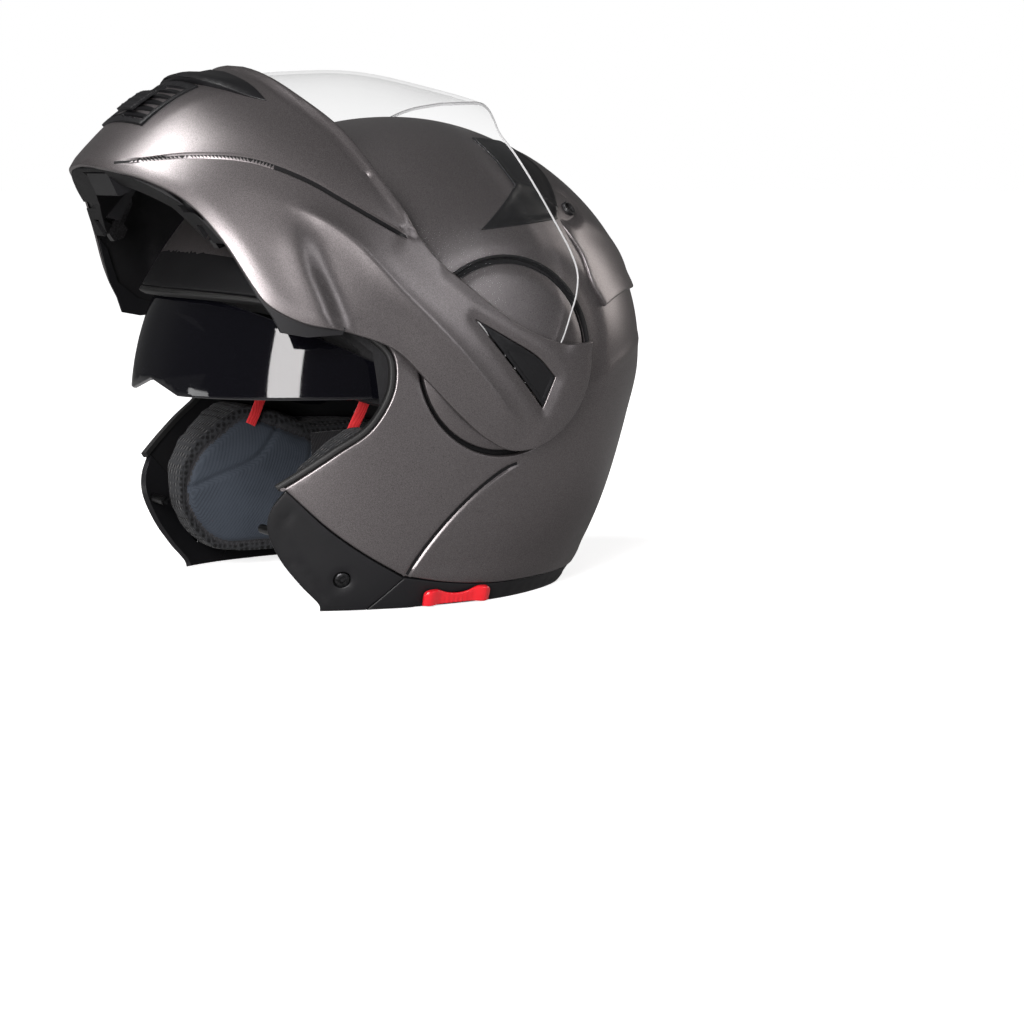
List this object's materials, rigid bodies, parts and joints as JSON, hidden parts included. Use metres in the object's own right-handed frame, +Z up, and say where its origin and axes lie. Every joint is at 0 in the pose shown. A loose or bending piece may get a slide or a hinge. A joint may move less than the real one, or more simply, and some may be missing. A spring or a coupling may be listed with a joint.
{
  "type": "modular motorcycle helmet",
  "caption": "Flip-up modular motorcycle helmet: matte shell, pivoting chin bar shown raised, clear visor, drop-down dark inner visor, latches, vents and padded liner.",
  "frame": {"origin": "on the flat lower rim plane, on the left-right midplane, straight under the hinge axis of chin bar and visor", "axes": "+X towards the wearer's left, -Y the way the face looks, +Z up to the crown; at rest the chin bar is flipped up"},
  "size_m": [0.256, 0.3288, 0.2933],
  "materials": {
    "shell_paint": "matte metallic gunmetal lacquer over moulded thermoplastic",
    "black_trim": "satin moulded",
    "black_gloss": "gloss moulded",
    "grey_arm": "satin moulded",
    "bead_rubber": "extruded bead",
    "foam": "moulded bead foam",
    "liner_fabric": "knitted mesh over foam",
    "webbing": "woven webbing",
    "red_web": "woven ribbon",
    "steel": "plated",
    "clear_shield": "clear polycarbonate",
    "dark_shield": "smoked polycarbonate",
    "red_plastic": "gloss moulded"
  },
  "bodies": {
    "shell": {"outer_shell": "shell_paint", "eyeport_seal": "bead_rubber", "front_trim_left": "black_trim", "front_trim_right": "black_trim", "rear_trim": "black_trim", "trim_screws": "steel", "foam_crown": "foam", "foam_brow": "foam", "foam_rear": "foam", "foam_left": "foam", "foam_right": "foam", "crown_pad": "liner_fabric", "liner_front": "liner_fabric", "liner_rear": "liner_fabric", "liner_left": "liner_fabric", "liner_right": "liner_fabric", "cheek_pad_left": "liner_fabric", "cheek_pad_right": "liner_fabric", "neck_roll": "liner_fabric", "strap_left": "webbing", "strap_right": "webbing", "d_rings": "steel", "red_pull_left": "red_web", "red_pull_right": "red_web", "pivot_plate_left": "black_trim", "pivot_plate_right": "black_trim", "pivot_pins": "steel", "sun_visor_pins": "steel", "striker_pins": "steel", "rear_vent_left": "black_gloss", "rear_vent_right": "black_gloss", "rear_spoiler": "shell_paint", "exhaust_ports": "black_trim"},
    "chin_bar": {"chin_bar_shell": "shell_paint", "side_vent_left": "black_trim", "side_vent_right": "black_trim", "arm_base_left": "grey_arm", "arm_base_right": "grey_arm", "chin_bar_liner": "foam", "latch_block_left": "black_trim", "latch_block_right": "black_trim", "latch_pins": "steel", "breath_deflector": "bead_rubber", "visor_sill": "bead_rubber", "corner_guard_left": "black_gloss", "corner_guard_right": "black_gloss", "front_vent_grille": "black_trim", "peak_trim": "black_trim"},
    "visor": {"clear_visor": "clear_shield", "visor_hubs": "black_trim"},
    "sun_visor_body": {"sun_visor": "dark_shield"},
    "sun_slider": {"sun_visor_slider": "red_plastic"},
    "front_vent_shutter": {"front_vent_slider": "black_gloss"},
    "button": {"release_button": "black_trim"},
    "hook_left": {"latch_hook_left": "steel"},
    "hook_right": {"latch_hook_right": "steel"}
  },
  "joints": [
    {"name": "chin_bar_hinge", "type": "hinge", "parent": "shell", "child": "chin_bar", "pos_m": [0, 0, 0.135], "axis": [1, 0, 0], "range_deg": [0, 64]},
    {"name": "visor_hinge", "type": "hinge", "parent": "chin_bar", "child": "visor", "pos_m": [0, 0, 0.135], "axis": [-1, 0, 0], "range_deg": [0, 36]},
    {"name": "sun_visor_hinge", "type": "hinge", "parent": "shell", "child": "sun_visor_body", "pos_m": [0, 0, 0.1], "axis": [-1, 0, 0], "range_deg": [0, 22]},
    {"name": "sun_slider_slide", "type": "slide", "parent": "shell", "child": "sun_slider", "axis": [0, 1, 0], "range_m": [0, 0.0221]},
    {"name": "front_vent_slide", "type": "slide", "parent": "chin_bar", "child": "front_vent_shutter", "axis": [0, 0.7862, 0.618], "range_m": [0, 0.006]},
    {"name": "release_button_slide", "type": "slide", "parent": "chin_bar", "child": "button", "axis": [0, 0.8988, 0.4384], "range_m": [0, 0.004], "stiffness_N_per_m": 600},
    {"name": "latch_hook_left_hinge", "type": "hinge", "parent": "chin_bar", "child": "hook_left", "pos_m": [0.072, -0.13968, 0.22745], "axis": [-1, 0, 0], "range_deg": [0, 10.1]},
    {"name": "latch_hook_right_hinge", "type": "hinge", "parent": "chin_bar", "child": "hook_right", "pos_m": [-0.072, -0.13968, 0.22745], "axis": [-1, 0, 0], "range_deg": [0, 10.1]}
  ],
  "couplings": [
    {"joint": "sun_slider_slide", "follows": "sun_visor_hinge", "m_per_rad": 0.057296},
    {"joint": "latch_hook_left_hinge", "follows": "release_button_slide", "rad_per_m": 43.633},
    {"joint": "latch_hook_right_hinge", "follows": "release_button_slide", "rad_per_m": 43.633}
  ]
}
